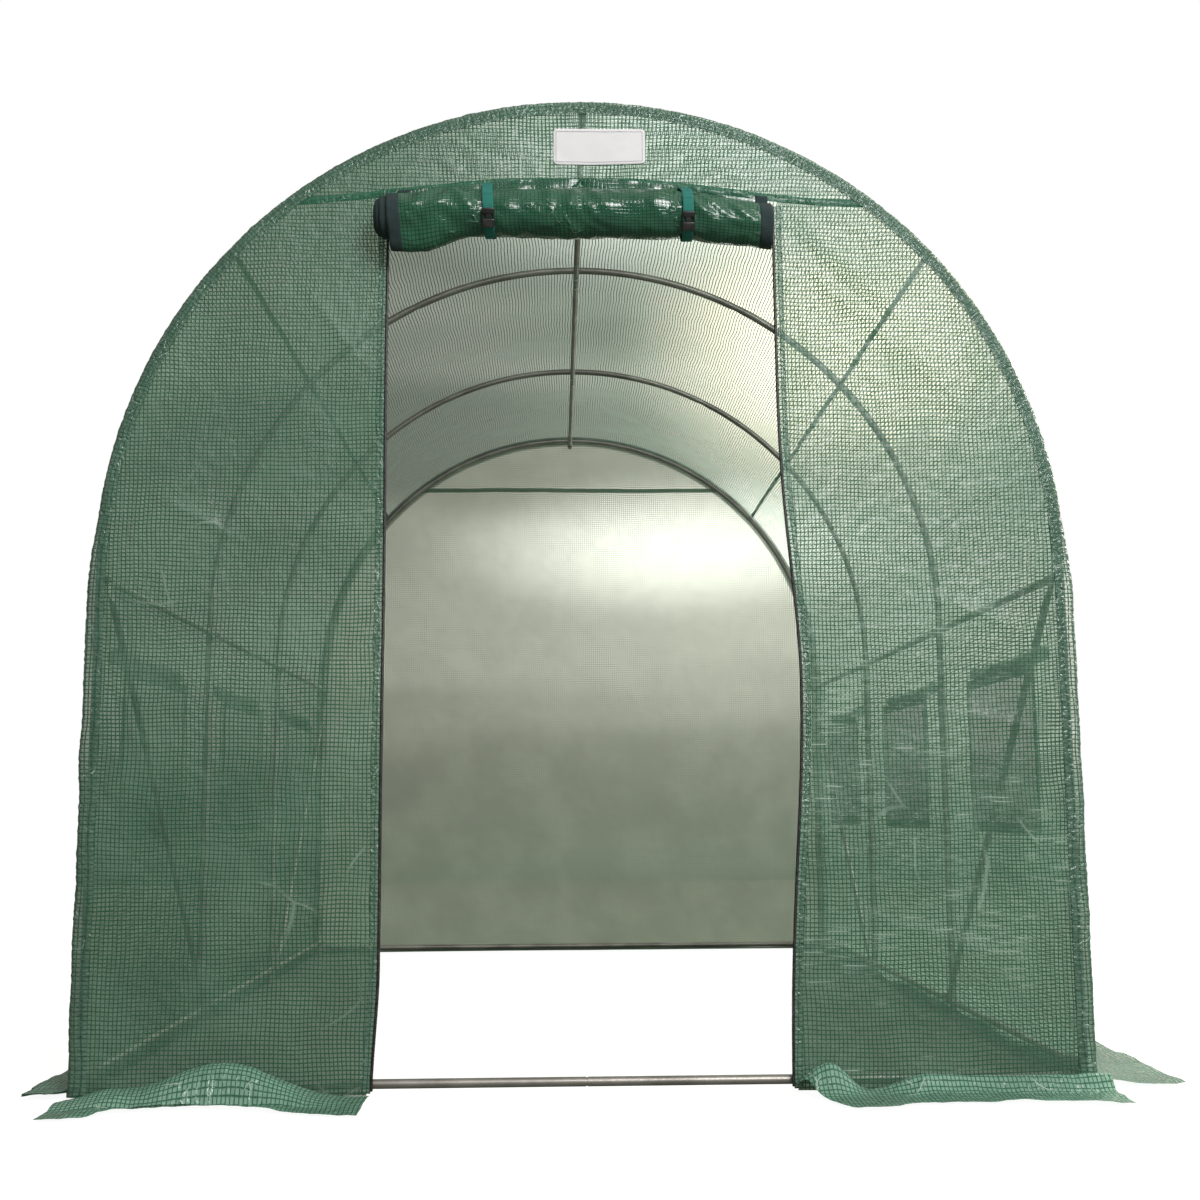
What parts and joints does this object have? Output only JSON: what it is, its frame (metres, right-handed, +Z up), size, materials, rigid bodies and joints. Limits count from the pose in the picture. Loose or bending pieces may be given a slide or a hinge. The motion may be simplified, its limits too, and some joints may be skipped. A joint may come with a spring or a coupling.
{
  "type": "polytunnel greenhouse",
  "caption": "Walk-in hoop greenhouse: round steel hoops with rails and braces under a green mesh-reinforced film cover, with a rolled-up zip doorway, net side windows and ground skirts.",
  "frame": {"origin": "centre of the floor plan, on the ground", "axes": "+X to the right when facing the doorway, +Y from the front to the back, +Z up"},
  "size_m": [2.4236, 3.3636, 2.0576],
  "materials": {
    "galvanised_steel": "galvanised steel tube, dull grey with a faint brown cast",
    "mesh_film": "translucent green film over a darker green reinforcing grid, slightly glossy and creased",
    "rolled_film": "the same film rolled up in many layers, deeper green, glossy and wrinkled",
    "hem_film": "doubled and sewn film at hems and seams, darker green with bright creases",
    "zip_tape": "woven zip tape, near black with a green edge",
    "strap_webbing": "woven webbing, teal green",
    "buckle_plastic": "moulded black plastic",
    "patch_cloth": "bare pale patch sewn to the cover",
    "insect_net": "fine woven insect net, dark green"
  },
  "bodies": {
    "root": {"back_corner_braces": "galvanised_steel", "back_ground_bar": "galvanised_steel", "back_hem": "hem_film", "back_hoop_crown_tube": "galvanised_steel", "back_hoop_legs": "galvanised_steel", "back_hoop_shoulder_tubes": "galvanised_steel", "back_panel": "mesh_film", "back_seam": "hem_film", "back_skirt": "mesh_film", "back_top_panel": "mesh_film", "cover_left_shoulder": "mesh_film", "cover_left_wall": "mesh_film", "cover_right_shoulder": "mesh_film", "cover_right_wall": "mesh_film", "cover_roof": "mesh_film", "curtain_edge_tapes": "zip_tape", "door_curtain_roll": "rolled_film", "door_ties": "strap_webbing", "door_zips": "zip_tape", "front_corner_braces": "galvanised_steel", "front_ground_bar": "galvanised_steel", "front_hem": "hem_film", "front_hoop_crown_tube": "galvanised_steel", "front_hoop_legs": "galvanised_steel", "front_hoop_shoulder_tubes": "galvanised_steel", "front_left_panel": "mesh_film", "front_left_skirt": "mesh_film", "front_right_panel": "mesh_film", "front_right_skirt": "mesh_film", "front_seam": "hem_film", "front_top_panel": "mesh_film", "label_patch": "patch_cloth", "left_ground_rails": "galvanised_steel", "left_side_rails": "galvanised_steel", "left_skirt": "mesh_film", "left_window_flaps": "rolled_film", "left_window_nets": "insect_net", "left_window_tapes": "hem_film", "ridge_tube_1": "galvanised_steel", "ridge_tube_2": "galvanised_steel", "ridge_tube_3": "galvanised_steel", "right_ground_rails": "galvanised_steel", "right_side_rails": "galvanised_steel", "right_skirt": "mesh_film", "right_window_flaps": "rolled_film", "right_window_nets": "insect_net", "right_window_tapes": "hem_film", "roof_seams": "hem_film", "second_hoop_crown_tube": "galvanised_steel", "second_hoop_legs": "galvanised_steel", "second_hoop_shoulder_tubes": "galvanised_steel", "third_hoop_crown_tube": "galvanised_steel", "third_hoop_legs": "galvanised_steel", "third_hoop_shoulder_tubes": "galvanised_steel", "tie_buckles": "buckle_plastic"}
  },
  "joints": []
}
